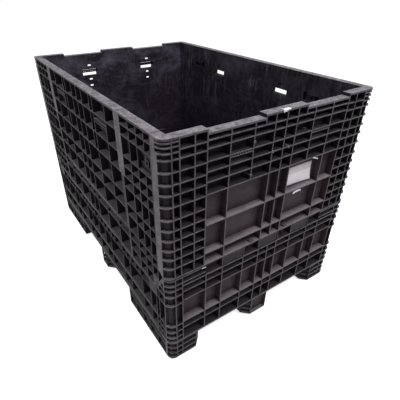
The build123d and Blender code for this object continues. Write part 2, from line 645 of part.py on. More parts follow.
def base_side(split):
    """A side panel of the base."""
    top = split - GAP
    half = HALF_L - shoulder_end(split)
    body = block(-half, half, 0, WALL, FOOT_TOP, top)
    columns = mirrored(BASE_SIDE_COLUMNS + (half + RIB / 2,))
    sill, step, low = BASE_SIDE_ROWS
    hinge_low = split - HINGE_DROP - RECESS_DROP
    tools = cells(columns, (hinge_low, sill)) + cells(columns, (step, low))
    tools += recesses(SIDE_HINGES, split)
    lines = between(RECESS_W / 2, SIDE_HINGES[-1] / 2 - RECESS_W / 2, 0.0, 0.25, 0.5, 0.75, 1.0)
    for start in SIDE_HINGES[:-1]:
        columns = [start + line for line in lines]
        tools += cells(columns, (hinge_low, top - RIB), depth=HINGE_CELL)
    tools.append(rim_bevel(half, top))
    return cut(body, tools)


def deck():
    """The floor, ribbed underneath and solid over the centre foot."""
    half_x = COLUMN_HALF
    half_y = HALF_L - WALL
    body = block(-half_x, half_x, -half_y, half_y, FOOT_TOP, DECK_TOP)
    across = round(2 * half_x / DECK_PITCH)
    along = round(2 * half_y / DECK_PITCH)
    step_x = 2 * half_x / across
    step_y = 2 * half_y / along
    middle = (across // 2, along // 2)
    wells = [
        block(-half_x + i * step_x + RIB, -half_x + (i + 1) * step_x - RIB,
              -half_y + j * step_y + RIB, -half_y + (j + 1) * step_y - RIB, FOOT_TOP - OVER,
              DECK_TOP - DECK_SKIN)
        for i in range(across)
        for j in range(along)
        if (i, j) != middle
    ]
    return cut(body, wells)


# ---- Feet ----
def foot(points, hollow, tools=()):
    """A foot from its plan outline, bevelled round its sole and hollow above it."""
    body = prism_xy(points, 0, FOOT_TOP)
    body = body.chamfer(FOOT_BEVEL, None, body.faces().sort_by(Axis.Z)[0].edges())
    x0, x1, y0, y1 = hollow
    return cut(body, [block(x0, x1, y0, y1, FOOT_SOLE, FOOT_TOP + OVER)] + list(tools))


def corner_foot():
    """A corner foot, with its outer corner at X = 0, Y = 0, ribbed like the column above it."""
    across, along = CORNER_FOOT
    front = across - FOOT_SLANT
    points = [(FOOT_CORNER, FOOT_CORNER), (CORNER_R, 0), (front, 0), (across, FOOT_SLANT)]
    points += [(across, along - FOOT_SLANT), (front, along), (0, along), (0, CORNER_R)]
    tools = corner_cells(FOOT_ROWS)
    tools += cells((WALL - RIB / 2, FOOT_COLUMN, front), FOOT_ROWS, depth=FOOT_CELL)
    tools += slant_notches(front, across)
    side_columns = between(WALL, along - FLANK_END, 0.0, 0.2, 0.4, 0.6, 0.8, 1.0)
    side_rows = (FOOT_ROWS[0], FOOT_ROWS[2], FOOT_ROWS[3])
    flank = [turn_to_flank(tool) for tool in cells(side_columns, side_rows, depth=FOOT_CELL)]
    hollow = (FOOT_SHELL, across - FOOT_WALL, FOOT_SHELL + FOOT_WALL, along - FOOT_SLANT - FOOT_WALL)
    return foot(points, hollow, tools + flank)


def turn_to_flank(shape):
    """Turns a cell drawn for a front face to the flank at X = 0."""
    return mirror(Rot(0, 0, 90) * shape, Plane.YZ)


def slant_notches(start, stop):
    """Notches between the ribs of a flank that slants from the outer face at 45 degrees."""
    rows = sorted(FOOT_ROWS)
    reach = stop - start
    notches = []
    for low, high in zip(rows, rows[1:]):
        notch = Box(hypot(reach, reach) - RIB, 2 * FOOT_CELL, high - low - RIB)
        notches.append(Pos((start + stop) / 2, reach / 2, (low + high) / 2) * Rot(0, 0, 45) * notch)
    return notches


def middle_foot(sizes):
    """The foot in the middle of a side or an end, with a recessed face and ribbed slanting flanks."""
    outside, inside, deep = sizes
    lead = inside - outside
    points = [(-outside, 0), (outside, 0), (inside, lead), (inside, deep), (-inside, deep), (-inside, lead)]
    tools = [block(RIB - outside, outside - RIB, -OVER, FOOT_RECESS, FOOT_BEVEL + RIB, FOOT_TOP - RIB)]
    notches = slant_notches(outside, inside)
    tools += notches + [mirror(notch, Plane.YZ) for notch in notches]
    hollow = (FOOT_WALL - inside, inside - FOOT_WALL, lead + 2 * FOOT_WALL, deep - FOOT_WALL)
    return foot(points, hollow, tools)


def centre_foot():
    """The foot in the middle of the container."""
    half_x, half_y = CENTRE_FOOT
    points = [(-half_x, -half_y), (half_x, -half_y), (half_x, half_y), (-half_x, half_y)]
    return foot(points, (FOOT_WALL - half_x, half_x - FOOT_WALL, FOOT_WALL - half_y, half_y - FOOT_WALL))


# ---- Assembly ----
def build_base():
    end_panel = base_end()
    keep("base_front_end", on_side(end_panel, "front"))
    keep("base_back_end", on_side(end_panel, "back"))
    keep("base_left_side", on_side(base_side(LEFT_SPLIT), "left"))
    keep("base_right_side", on_side(base_side(RIGHT_SPLIT), "right"))
    columns = [
        on_side(base_column(LEFT_SPLIT, -1), "front"),
        on_side(base_column(RIGHT_SPLIT, 1), "front"),
        on_side(base_column(RIGHT_SPLIT, -1), "back"),
        on_side(base_column(LEFT_SPLIT, 1), "back"),
    ]
    keep("base_corner_columns", *columns)
    keep("base_deck", deck())
    corner = to_corner(corner_foot(), -1)
    other = to_corner(corner_foot(), 1)
    keep("corner_feet", *[on_side(shape, side) for side in ("front", "back") for shape in (corner, other)])
    keep("end_feet", *[on_side(middle_foot(END_FOOT), side) for side in ("front", "back")])
    keep("side_feet", *[on_side(middle_foot(SIDE_FOOT), side) for side in ("left", "right")])
    keep("centre_foot", centre_foot())


def build_ends():
    panel = end_wall()
    posts = [corner_post(-1), corner_post(1)]
    clips = [end_clip(x) for x in END_HINGES[1:3]]
    steel = hinge_rod(END_HINGES, END_SPLIT)
    for side in ("front", "back"):
        keep(f"{side}_end_wall", on_side(panel, side))
        keep(f"{side}_wall_corner_posts", *[on_side(post, side) for post in posts])
        keep(f"{side}_wall_rod_clips", *[on_side(clip, side) for clip in clips])
        keep(f"{side}_wall_hinge_rod", on_side(steel, side))


def build_sides():
    leaf = door()
    door_steel = door_rod()
    for side, split in (("left", LEFT_SPLIT), ("right", RIGHT_SPLIT)):
        near, far = (1, -1) if side == "left" else (-1, 1)
        for end, hand in (("front", near), ("back", far)):
            keep(f"{side}_wall_{end}_post", on_side(side_post(split, hand), side))
            keep(f"{side}_{end}_corner_latch", on_side(corner_bolt(hand), side))
            keep(f"{side}_{end}_door_latch", on_side(door_bolt(hand), side))
        keep(f"{side}_wall_sill", on_side(side_sill(split), side))
        keep(f"{side}_wall_hinge_rod", on_side(hinge_rod(SIDE_HINGES, split), side))
        keep(f"{side}_access_door", on_side(leaf, side))
        keep(f"{side}_door_hinge_rod", on_side(door_steel, side))


build_base()
build_ends()
build_sides()
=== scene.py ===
"""Looks of the collapsible bulk container: worn black plastic, a blank label, studio light and the camera.

Everything is in metres, in the frame's axes: +Z up, +Y along the long sides.
"""

import json
from math import cos, radians, sin, tau

import bmesh
import bpy
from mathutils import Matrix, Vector, noise


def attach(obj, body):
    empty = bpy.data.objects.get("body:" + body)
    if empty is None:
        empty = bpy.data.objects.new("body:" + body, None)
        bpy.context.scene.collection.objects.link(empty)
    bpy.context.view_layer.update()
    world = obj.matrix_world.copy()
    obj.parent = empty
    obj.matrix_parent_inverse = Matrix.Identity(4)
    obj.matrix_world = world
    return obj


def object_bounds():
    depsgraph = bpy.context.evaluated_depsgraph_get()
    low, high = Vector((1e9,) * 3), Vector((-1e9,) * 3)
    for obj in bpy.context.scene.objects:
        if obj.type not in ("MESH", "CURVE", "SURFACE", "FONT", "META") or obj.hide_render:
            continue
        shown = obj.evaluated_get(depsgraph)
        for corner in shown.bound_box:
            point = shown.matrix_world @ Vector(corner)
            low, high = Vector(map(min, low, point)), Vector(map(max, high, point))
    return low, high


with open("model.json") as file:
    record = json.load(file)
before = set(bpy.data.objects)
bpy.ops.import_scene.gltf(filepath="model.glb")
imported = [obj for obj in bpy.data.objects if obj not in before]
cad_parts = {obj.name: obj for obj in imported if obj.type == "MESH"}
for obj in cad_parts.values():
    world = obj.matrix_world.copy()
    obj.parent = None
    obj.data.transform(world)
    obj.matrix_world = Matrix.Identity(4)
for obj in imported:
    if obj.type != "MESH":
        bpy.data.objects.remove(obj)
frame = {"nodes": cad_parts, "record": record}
cad_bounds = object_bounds()
LOW, HIGH = (Vector(corner) for corner in cad_bounds)

# ---- Camera ----
CAMERA_AT = Vector((-1.119, -1.834, 1.698))
CAMERA_HEADING = 33.47  # degrees from +Y towards +X
CAMERA_PITCH = 33.27  # degrees down
LENS = 31.1
SENSOR = 36.0
SHIFT = (0.027, 0.012)
SIGHT = 60.0  # how far the camera sees

# ---- Floor, sky and lamps ----
FLOOR = (0.86, 0.86, 0.86)
FLOOR_HALF = 30.0
FLOOR_DROP = 0.0005  # below the feet
FLOOR_GLOW = 0.75  # keeps the floor white to the camera
SKY_LIGHT = 0.32
LAMPS = (  # name, place, target, size, power
    ("sky_panel", (0.2, -0.6, 4.8), (0.0, 0.0, 0.5), 2.6, 110.0),
    ("front_panel", (0.7, -2.8, 4.3), (0.0, -0.7, 0.6), 1.5, 120.0),
    ("side_panel", (-2.5, -0.4, 4.3), (-0.5, -0.2, 0.6), 1.5, 60.0),
)

# ---- Colours (linear) ----
BLACK = (0.0115, 0.0085, 0.0120)
WALL_BLACK = (0.0120, 0.0088, 0.0130)
LATCH_BLACK = (0.0080, 0.0065, 0.0085)
# lighter plastic of the bosses: painted light, so that they read as catching it
BOSS_WITH_PAINTED_LIGHT = (0.085, 0.077, 0.088)
# pale scuffs on the ribs' front edges, and the painted highlight on edges that look up
SCUFF_AND_HIGHLIGHT = (0.215, 0.193, 0.217)
# dust on what faces up, with painted light
DUST_AND_LIGHT = (0.182, 0.162, 0.180)
# dust on the rims, with a painted sheen
RIM_DUST_AND_SHEEN = (0.116, 0.106, 0.120)
RUBBED = (0.100, 0.094, 0.130)
FADED = (0.056, 0.041, 0.048)
PALE = (0.30, 0.29, 0.31)
ZINC = (0.13, 0.125, 0.13)
PAPER = (0.68, 0.64, 0.68)
# grey of the paper's dirt, and of the painted shade on the label's upper part
PAPER_DIRT_AND_SHADE = (0.40, 0.38, 0.40)

# ---- Zones of the container, in from its outer planes or up from the floor ----
OUTER_FACE = 0.0012  # how near the outer planes a point counts as a rib's front edge
INNER_FACE = 0.0435  # where a wall's inner face begins
WALL = 0.045
WALL_ROOM = 0.047  # a little more than a wall, so that all of it counts
CORNER_R = 0.032
CORNER_EDGE = 0.0016
CORNER_BAND = 0.080  # the flat bands on the long sides, in from the ends
DOOR_EDGE = 0.518  # the split between door and post, out from the middle
DOOR_BAND = 0.028
DOOR_BAND_FOOT = 0.955
RIM_ZONE = 0.020
CELLS_DEEP = 0.040
LARGE_WALL = (0.778, 0.188)  # middle height and half height of the end walls' large cells
LARGE_BASE = (0.350, 0.075)
LARGE_REACH = 0.412  # how far out from the middle the walls' large cells go
BASE_REACH = 0.530
SEAM = (0.5855, 0.0032)  # the dirty parting line round the ends: middle and half height
FOOT_TOP = 0.134
FOOT_CELL = 0.016  # how deep the cells in the corner feet lie, with some room
MIDDLE_FOOT = 0.110

# ---- Wear, painted highlight and painted shade of each zone ----
EDGE_REACH = 0.003  # radius of the rounding that finds the edges
EDGE_TILT = (0.05, 0.45)  # how far an edge's rounding looks up where the scuffs' painted highlight begins and where it is full
SHADED_EDGE_SHARE = 0.40  # share of the scuffs on the rest of a rib's front edge, which looks less up: painted shade
SIDE_RIB_WEAR_AND_SHADE = 0.22  # of the rib edges on the long sides, against the ends': wear, dimmed by painted shade
BAND_WEAR = 0.66  # of the flat bands on the long sides
SEAM_WEAR = 0.12
FLANK_HIGHLIGHT = 0.60  # painted highlight on the upper rib edges of the feet's slanted flanks
FOOT_FADE = 0.45  # of the middle feet, against the large cells
SMALL_CELL_DUST_AND_SHADE = 0.13  # of what faces up in the ends' smaller cells, against the rims and large cells: dust, darkened by painted shade
SIDE_CELL_DUST_AND_LIGHT = 0.58  # of what faces up in the long sides' cells: dust, brightened by painted light
SHELF_DEPTH = (0.034, 0.006)  # of the large shelves' backs and fronts, in from the outer face
SHELF_DUST_AND_HIGHLIGHT = (0.50, 1.50)  # at the back and at the front of a large shelf: dust, with a painted highlight growing towards the front
FACING_UP = (0.55, 0.95)
INSIDE_FADE = (0.55, 1.10)  # the walls' inner faces are rubbed most near the top
LOW_RUBS = 0.25  # of the rubs at the foot of the inner faces
SIDE_CLOUDS = 0.60  # of the broad rubbed clouds on the long walls' inner faces, against the end walls'
END_STREAKS = 0.42  # of the upright scratches on the end walls' inner faces, against the long walls'
FULL_SCUFF = 0.95  # share of the worn colour where the wear is full, here and below; here it also carries a painted highlight
FULL_RUB = 0.75
FULL_SPECKS = 0.55
FULL_PITS = 0.70

# ---- Patterns: noise (scale, detail, roughness, distortion), ramp (from, to, least, most), stretch ----
BLOTCHES = ((5.0, 5.0, 0.65), (0.35, 0.70))
RUBS = ((4.5, 8.0, 0.7, 0.35), (0.48, 0.73), (1.0, 1.0, 1.6))
WIPES = ((3.0, 8.0, 0.75, 0.8), (0.55, 0.72), (3.0, 3.0, 9.0))
STREAKS = ((2.0, 8.0, 0.75, 0.9), (0.50, 0.66, 0.0, 1.60), (19.0, 19.0, 3.2))
SCATTER = ((3.2, 6.0, 0.7, 0.6), (0.42, 0.60, 0.20, 1.0))
DUST_PATCHES = ((9.0, 6.0, 0.7), (0.32, 0.66, 0.35, 1.0))
EDGE_RUBS = ((24.0, 6.0, 0.75), (0.30, 0.66, 0.30, 1.0))
PAPER_DIRT = ((18.0, 5.0, 0.6), (0.40, 0.75))

# ---- Finer noises, and the ramps and bumps made of them ----
FINE = (42.0, 6.0, 0.75)
CLOUDY = (0.30, 0.62, 0.55, 1.0)
SPECKS = (0.46, 0.70)
PITS = (0.46, 0.30)
GRAIN = (60.0, 3.0, 0.7)
GRAIN_RANGE = (0.3, 0.7)
GRAIN_GLOSS = (-0.08, 0.12)  # added to the roughness, between the grain's lows and highs
GRAIN_BUMP = (0.25, 0.0006)
SPANGLE = (120.0, 3.0)
SPANGLE_RANGE = (0.35, 0.65)
CREASES = (45.0, 2.0, 0.5)
CREASE_BUMP = (0.4, 0.001)

# ---- Finish ----
ROUNDING = 0.0016  # of every edge of the plastic, in shading only
SPECULAR = 0.09
BLOTCH_GAIN = 1.7  # how much lighter the blotches are than the plastic
BLOTCH_SHARE = 0.5
LEAST_FADE = 0.45  # of a large cell's back between the blotches
ZINC_DARK = 0.6
ZINC_ROUGH = (0.45, 0.65)
PAPER_ROUGH = 0.7

# ---- Label and scraps on the front end, across and up ----
SKIN_DEPTH = 0.038  # of the cells' backs behind the outer face
LABEL_LOW = (0.107, 0.8245)
LABEL_HIGH = (0.277, 0.927)
LABEL_SHADE_EDGE = (0.885, 0.889)  # where the painted shade over its upper part begins, and where it is full; the higher scraps get it too
# painted shade on the label's upper part
LABEL_TOP_SHADE = 0.55
DIRT_SHADE = 0.35
LABEL_T = 0.0004
LABEL_LIFT = (0.0006, 0.010, 0.0012)  # all over, at the loose corner, and of the wave across
LABEL_WAVE = (9.0, 2.0)  # rate and start
SCRAP_T = 0.0003
SCRAP_GAP = 0.0009  # least gap behind a scrap
SCRAP_CREASES = (0.008, 0.0022)  # size of the creases, and how far they stand out
SCRAP_RAGS = (0.23, 0.5)  # size of the uneven places along the edges, and how uneven they are
RIM_SCRAP = (-0.031, 0.012)
RIM_SCRAP_REACH = (0.013, 0.013)  # over the rim, and down the face
RIM_SCRAP_TEAR = (0.45, 0.35, 5.2, 0.4)  # share of the reach down, and its wave: height, rate and start
RIM_SCRAP_RAGS = (0.13, 0.5)
RIM_SCRAP_ENDS = (0.3, 0.004)
RIM_SCRAP_GAP = 0.0008
RIM_SCRAP_CREASES = (0.006, 0.0045)
SCRAPS = (  # name, start, end, width, curl, body
    ("shelf_scrap", (0.124, 0.799), (0.167, 0.812), 0.011, 0.010, "front_wall"),
    ("rib_scrap", (0.226, 0.968), (0.258, 0.958), 0.006, 0.006, "front_wall"),
    ("base_scrap", (-0.424, 0.577), (-0.403, 0.5775), 0.0045, 0.001, "base"),
)

# ---- Moulded bosses on each end wall ----
BOSSES = (  # across, up, how deep the face is that it stands on, radius
    (0.192, 0.981, SKIN_DEPTH, 0.0080),
    (0.160, 1.120, SKIN_DEPTH, 0.0075),
    (-0.062, 1.072, 0.0, 0.0070),
    (0.036, 1.072, 0.0, 0.0060),
    (-0.177, 0.993, 0.0, 0.0060),
    (-0.175, 1.144, 0.0, 0.0060),
)
BOSS_RISE = (0.014, 0.0025)  # of the ones in a cell, and of the ones on the ribs
BOSS_SIDES = 20

# ---- Grips of the doors' hand slots ----
SLOT_COLUMN = (0.23475, 0.38225)  # between the ribs on each side of a slot, out from the middle
SLOT_HALF = 0.0590
SLOT_TOP = 1.1300
SLOT_SILL = 1.0895  # the ledge stays under the space that fingers need
SLOT_LIP = (1.1205, 1.1345)  # undersides of the lip, which stays over that space, and of the rib above it
LIP_T = 0.004
LIP_DEPTH = 0.022
RIB = 0.0055
TEETH = 8
LEDGE = 0.021
DRAINS = (1.1480, 1.0480)
DRAIN_HALF = (0.0150, 0.0085)
SINK = 0.001  # how far a grip or a boss reaches into the plastic behind it
GRIP_BACK = 0.0005  # how far a grip stays in from the door's inner face
CHAMFER = 0.0007


# ---- Node helpers ----
class Nodes:
    """Short ways to add and join a material's nodes."""

    def __init__(self, material):
        material.use_nodes = True
        self.tree = material.node_tree
        self.tree.nodes.clear()

    def add(self, kind, **settings):
        node = self.tree.nodes.new(kind)
        for key, value in settings.items():
            setattr(node, key, value)
        return node

    def join(self, source, target):
        self.tree.links.new(source, target)

    def feed(self, socket, value):
        """Links a socket, or sets a plain number or colour on it."""
        if isinstance(value, bpy.types.NodeSocket):
            self.join(value, socket)
        elif value is not None:
            socket.default_value = value

    def math(self, operation, a, b=None, c=None):
        node = self.add("ShaderNodeMath", operation=operation)
        for socket, value in zip(node.inputs, (a, b, c)):
            self.feed(socket, value)
        return node.outputs[0]

    def noise(self, coordinates, scale, detail=4.0, roughness=0.6, distortion=0.0):
        node = self.add("ShaderNodeTexNoise")
        node.inputs["Distortion"].default_value = distortion
        self.join(coordinates, node.inputs["Vector"])
        node.inputs["Scale"].default_value = scale
        node.inputs["Detail"].default_value = detail
        node.inputs["Roughness"].default_value = roughness
        return node.outputs["Fac"]

    def ramp(self, value, low, high, start=0.0, end=1.0):
        """Maps low..high to start..end, clamped."""
        node = self.add("ShaderNodeMapRange", clamp=True)
        self.feed(node.inputs["Value"], value)
        for name, number in (("From Min", low), ("From Max", high), ("To Min", start), ("To Max", end)):
            node.inputs[name].default_value = number
        return node.outputs["Result"]

    def mix(self, factor, a, b):
        """Mixes two colours."""
        node = self.add("ShaderNodeMix", data_type="RGBA")
        self.feed(node.inputs[0], factor)
        for socket, value in ((node.inputs[6], a), (node.inputs[7], b)):
            self.feed(socket, (*value, 1.0) if isinstance(value, tuple) else value)
        return node.outputs[2]

    def pattern(self, coordinates, noise, ramp, stretch=(1.0, 1.0, 1.0)):
        """A noise in stretched coordinates, put through a ramp."""
        mapping = self.add("ShaderNodeMapping")
        self.join(coordinates, mapping.inputs["Vector"])
        mapping.inputs["Scale"].default_value = stretch
        return self.ramp(self.noise(mapping.outputs["Vector"], *noise), *ramp)

    def axes(self, vector):
        """A vector's X, Y and Z."""
        split = self.add("ShaderNodeSeparateXYZ")
        self.join(vector, split.inputs[0])
        return split.outputs

    def rounded(self, radius):
        """The normal, as if every edge were rounded."""
        bevel = self.add("ShaderNodeBevel", samples=4)
        bevel.inputs["Radius"].default_value = radius
        return bevel.outputs["Normal"]

    def bump(self, height, strength, distance, normal=None):
        node = self.add("ShaderNodeBump")
        self.join(height, node.inputs["Height"])
        node.inputs["Strength"].default_value = strength
        node.inputs["Distance"].default_value = distance
        self.feed(node.inputs["Normal"], normal)
        return node.outputs["Normal"]

    def surface(self, colour, roughness, normal=None, metallic=0.0, specular=0.5):
        shader = self.add("ShaderNodeBsdfPrincipled")
        self.feed(shader.inputs["Base Color"], (*colour, 1.0) if isinstance(colour, tuple) else colour)
        self.feed(shader.inputs["Roughness"], roughness)
        self.feed(shader.inputs["Normal"], normal)
        shader.inputs["Metallic"].default_value = metallic
        shader.inputs["Specular IOR Level"].default_value = specular
        output = self.add("ShaderNodeOutputMaterial")
        self.join(shader.outputs[0], output.inputs["Surface"])


# ---- Materials ----
def near(nodes, value, middle, reach):
    """1 where a value lies within reach of a middle."""
    return nodes.math("COMPARE", value, middle, reach)


class Spot:
    """A shaded point: its place, how far out it lies each way, its height and its normal."""

    def __init__(self, nodes):
        where = nodes.add("ShaderNodeTexCoord")
        self.place = where.outputs["Object"]
        self.normal = where.outputs["Normal"]
        x, y, self.height = nodes.axes(self.place)
        self.across = nodes.math("ABSOLUTE", x)
        self.along = nodes.math("ABSOLUTE", y)


def outer_face_mask(nodes, spot, upper):
    """How worn and lit the ribs' front edges are: scuffs most on bands and ends, least on the long sides,
    which is partly painted shade.

    Upper is how far a rib's rounded edge looks up: the more it looks up, the more painted highlight, and the
    rest gets painted shade. The feet's slanted flanks get a painted highlight too."""
    on_side = nodes.math("GREATER_THAN", spot.across, HIGH.x - OUTER_FACE)
    on_end = nodes.math("GREATER_THAN", spot.along, HIGH.y - OUTER_FACE)
    corner_band = nodes.math("GREATER_THAN", spot.along, HIGH.y - CORNER_BAND)
    door_band = nodes.math("MULTIPLY", near(nodes, spot.along, DOOR_EDGE, DOOR_BAND),
                           nodes.math("GREATER_THAN", spot.height, DOOR_BAND_FOOT))
    band = nodes.math("MAXIMUM", corner_band, door_band)
    # the long sides' rib edges are dimmer than their bands: painted shade
    side_wear = nodes.math("MULTIPLY_ADD", band, BAND_WEAR - SIDE_RIB_WEAR_AND_SHADE, SIDE_RIB_WEAR_AND_SHADE)
    flat = nodes.math("MAXIMUM", nodes.math("MULTIPLY", on_side, side_wear), on_end)
    ribs = nodes.math("MAXIMUM", flat, round_corner_mask(nodes, spot))
    # painted highlight on edges that look up, painted shade on the rest
    lit = nodes.ramp(upper, *EDGE_TILT, SHADED_EDGE_SHARE, 1.0)
    scuffed_and_lit = nodes.math("MULTIPLY", ribs, nodes.math("MAXIMUM", lit, nodes.math("MULTIPLY", on_side, band)))
    # painted highlight on the upper edges of the flanks' ribs
    flanks = nodes.math("MULTIPLY", flank_mask(nodes, spot), nodes.ramp(upper, *EDGE_TILT, 0.0, FLANK_HIGHLIGHT))
    return nodes.math("MAXIMUM", scuffed_and_lit, flanks)


def round_corner_mask(nodes, spot):
    """1 along the outer edge of the ribs that run round the corners."""
    past_x = nodes.math("SUBTRACT", spot.across, HIGH.x - CORNER_R)
    past_y = nodes.math("SUBTRACT", spot.along, HIGH.y - CORNER_R)
    reach = nodes.math("SQRT", nodes.math("ADD", nodes.math("MULTIPLY", past_x, past_x),
                                          nodes.math("MULTIPLY", past_y, past_y)))
    beyond = nodes.math("GREATER_THAN", nodes.math("MINIMUM", past_x, past_y), 0.0)
    return nodes.math("MULTIPLY", beyond, nodes.math("GREATER_THAN", reach, CORNER_R - CORNER_EDGE))


def within(nodes, spot, depth):
    """1 on what lies more than a depth in from both outer planes."""
    between_sides = nodes.math("LESS_THAN", spot.across, HIGH.x - depth)
    between_ends = nodes.math("LESS_THAN", spot.along, HIGH.y - depth)
    return nodes.math("MULTIPLY", between_sides, between_ends)


def middle_foot_mask(nodes, spot):
    """1 on the feet between the corners."""
    middle = nodes.math("LESS_THAN", nodes.math("MINIMUM", spot.across, spot.along), MIDDLE_FOOT)
    return nodes.math("MULTIPLY", nodes.math("LESS_THAN", spot.height, FOOT_TOP), middle)


def flank_mask(nodes, spot):
    """1 on the middle feet, and on the corner feet behind their outer cells."""
    low = nodes.math("LESS_THAN", spot.height, FOOT_TOP)
    inner = nodes.math("MULTIPLY", low, within(nodes, spot, FOOT_CELL))
    return nodes.math("MAXIMUM", inner, middle_foot_mask(nodes, spot))


def large_cell_mask(nodes, spot):
    """1 in the large open cells in the middle of the end walls and low on the base."""
    on_end = nodes.math("GREATER_THAN", spot.along, HIGH.y - CELLS_DEEP)
    wall = nodes.math("MULTIPLY", near(nodes, spot.height, *LARGE_WALL),
                      nodes.math("LESS_THAN", spot.across, LARGE_REACH))
    low = nodes.math("MULTIPLY", near(nodes, spot.height, *LARGE_BASE),
                     nodes.math("LESS_THAN", spot.across, BASE_REACH))
    return nodes.math("MULTIPLY", on_end, nodes.math("MAXIMUM", wall, low))


def edge_tilt(nodes):
    """How far the rounded edges of ribs look up, in the part's own axes."""
    own = nodes.add("ShaderNodeVectorTransform", vector_type="NORMAL", convert_from="WORLD",
                    convert_to="OBJECT")
    nodes.join(nodes.rounded(EDGE_REACH), own.inputs["Vector"])
    return nodes.axes(own.outputs["Vector"])["Z"]


def faded_plastic(nodes, spot, large, fine, colour):
    """Blotches everywhere, and the greyer backs of the large cells and middle feet."""
    blotch = nodes.pattern(spot.place, *BLOTCHES)
    lighter = tuple(BLOTCH_GAIN * c for c in colour)
    base = nodes.mix(nodes.math("MULTIPLY", blotch, BLOTCH_SHARE), colour, lighter)
    cloudy = nodes.math("MULTIPLY", nodes.ramp(blotch, 0.0, 1.0, LEAST_FADE, 1.0), nodes.ramp(fine, *CLOUDY))
    foot = nodes.math("MULTIPLY", middle_foot_mask(nodes, spot), FOOT_FADE)
    return nodes.mix(nodes.math("MULTIPLY", nodes.math("MAXIMUM", large, foot), cloudy), base, FADED)


def rub_inside(nodes, spot, base, wear):
    """Broad rubbed clouds and upright scratches on the walls' inner faces."""
    on_side = nodes.math("GREATER_THAN", spot.across, HIGH.x - WALL_ROOM)
    clouds = nodes.math("MAXIMUM", nodes.pattern(spot.place, *RUBS), nodes.pattern(spot.place, *WIPES))
    clouds = nodes.math("MULTIPLY", clouds, nodes.math("MULTIPLY_ADD", on_side, SIDE_CLOUDS - 1.0, 1.0))
    scratches = nodes.math("MULTIPLY", nodes.pattern(spot.place, *STREAKS),
                           nodes.math("MULTIPLY_ADD", on_side, 1.0 - END_STREAKS, END_STREAKS))
    scratches = nodes.math("MULTIPLY", scratches, nodes.pattern(spot.place, *SCATTER))
    marks = nodes.math("MAXIMUM", clouds, scratches)
    upper = nodes.ramp(spot.height, *INSIDE_FADE, LOW_RUBS, 1.0)
    inside = nodes.math("MULTIPLY", within(nodes, spot, INNER_FACE), nodes.math("MULTIPLY", marks, upper))
    return nodes.mix(nodes.math("MULTIPLY", inside, FULL_RUB * wear), base, RUBBED)


def lay_dust_and_light(nodes, spot, base, large, fine, colour, wear):
    """Dust on what faces up when the container stands open, with painted light in it: a painted sheen on the
    rims, a painted highlight towards the front of the large shelves, more light in the long sides' cells and
    painted shade in the ends' small cells. Pale specks and dark pits along the rims.
    """
    up = nodes.ramp(nodes.axes(spot.normal)["Z"], *FACING_UP)
    rim = nodes.math("GREATER_THAN", spot.height, HIGH.z - RIM_ZONE)
    patchy = nodes.pattern(spot.place, *DUST_PATCHES)
    back, front = (HIGH.y - depth for depth in SHELF_DEPTH)
    # painted highlight growing towards the front of the large shelves
    shelf = nodes.ramp(spot.along, back, front, *SHELF_DUST_AND_HIGHLIGHT)
    # painted shade in the ends' small cells, painted light in the long sides' cells
    in_side_cell = nodes.math("GREATER_THAN", spot.across, HIGH.x - CELLS_DEEP)
    cell_dust_and_light = nodes.math("MULTIPLY_ADD", in_side_cell, SIDE_CELL_DUST_AND_LIGHT - SMALL_CELL_DUST_AND_SHADE, SMALL_CELL_DUST_AND_SHADE)
    shelves = nodes.math("MAXIMUM", rim, nodes.math("MULTIPLY", large, shelf))
    # how much dust and painted light each zone gets
    dust_and_light_share = nodes.math("MAXIMUM", shelves, cell_dust_and_light)
    dust_and_light_amount = nodes.math("MULTIPLY", nodes.math("MULTIPLY", up, patchy), dust_and_light_share)
    base = nodes.mix(nodes.math("MULTIPLY", dust_and_light_amount, wear), base, nodes.mix(rim, DUST_AND_LIGHT, RIM_DUST_AND_SHEEN))
    on_rim = nodes.math("MULTIPLY", rim, up)
    specks = nodes.math("MULTIPLY", on_rim, nodes.ramp(fine, *SPECKS))
    base = nodes.mix(nodes.math("MULTIPLY", specks, FULL_SPECKS * wear), base, PALE)
    pits = nodes.math("MULTIPLY", on_rim, nodes.ramp(fine, *PITS))
    return nodes.mix(nodes.math("MULTIPLY", pits, FULL_PITS * wear), base, colour)


def scuff_and_highlight_edges(nodes, spot, base, wear):
    """Pale scuffs on the ribs' front edges, with a painted highlight where they look up and painted shade on
    the long sides, but little in the dirty parting line.
    """
    rub = nodes.pattern(spot.place, *EDGE_RUBS)
    seam = nodes.ramp(near(nodes, spot.height, *SEAM), 0.0, 1.0, 1.0, SEAM_WEAR)
    edge = nodes.math("MULTIPLY", outer_face_mask(nodes, spot, edge_tilt(nodes)), rub)
    edge = nodes.math("MULTIPLY", edge, seam)
    # pale scuffs, with the painted highlight and painted shade of the mask
    return nodes.mix(nodes.math("MULTIPLY", edge, FULL_SCUFF * wear), base, SCUFF_AND_HIGHLIGHT)


def black_plastic(name, colour, roughness, wear):
    """Moulded black plastic: scuffs on the rib edges with a painted highlight where they look up, worn rims,
    a dusty look on what faces up with painted light and shade in it, and rubbed walls inside.
    """
    material = bpy.data.materials.new(name)
    nodes = Nodes(material)
    spot = Spot(nodes)
    large = large_cell_mask(nodes, spot)
    fine = nodes.noise(spot.place, *FINE)
    base = faded_plastic(nodes, spot, large, fine, colour)
    base = rub_inside(nodes, spot, base, wear)
    base = lay_dust_and_light(nodes, spot, base, large, fine, colour, wear)
    base = scuff_and_highlight_edges(nodes, spot, base, wear)

    grain = nodes.noise(spot.place, *GRAIN)
    rough = nodes.ramp(grain, *GRAIN_RANGE, *(roughness + change for change in GRAIN_GLOSS))
    normal = nodes.bump(grain, *GRAIN_BUMP, nodes.rounded(ROUNDING))
    nodes.surface(base, rough, normal, specular=SPECULAR)
    return material


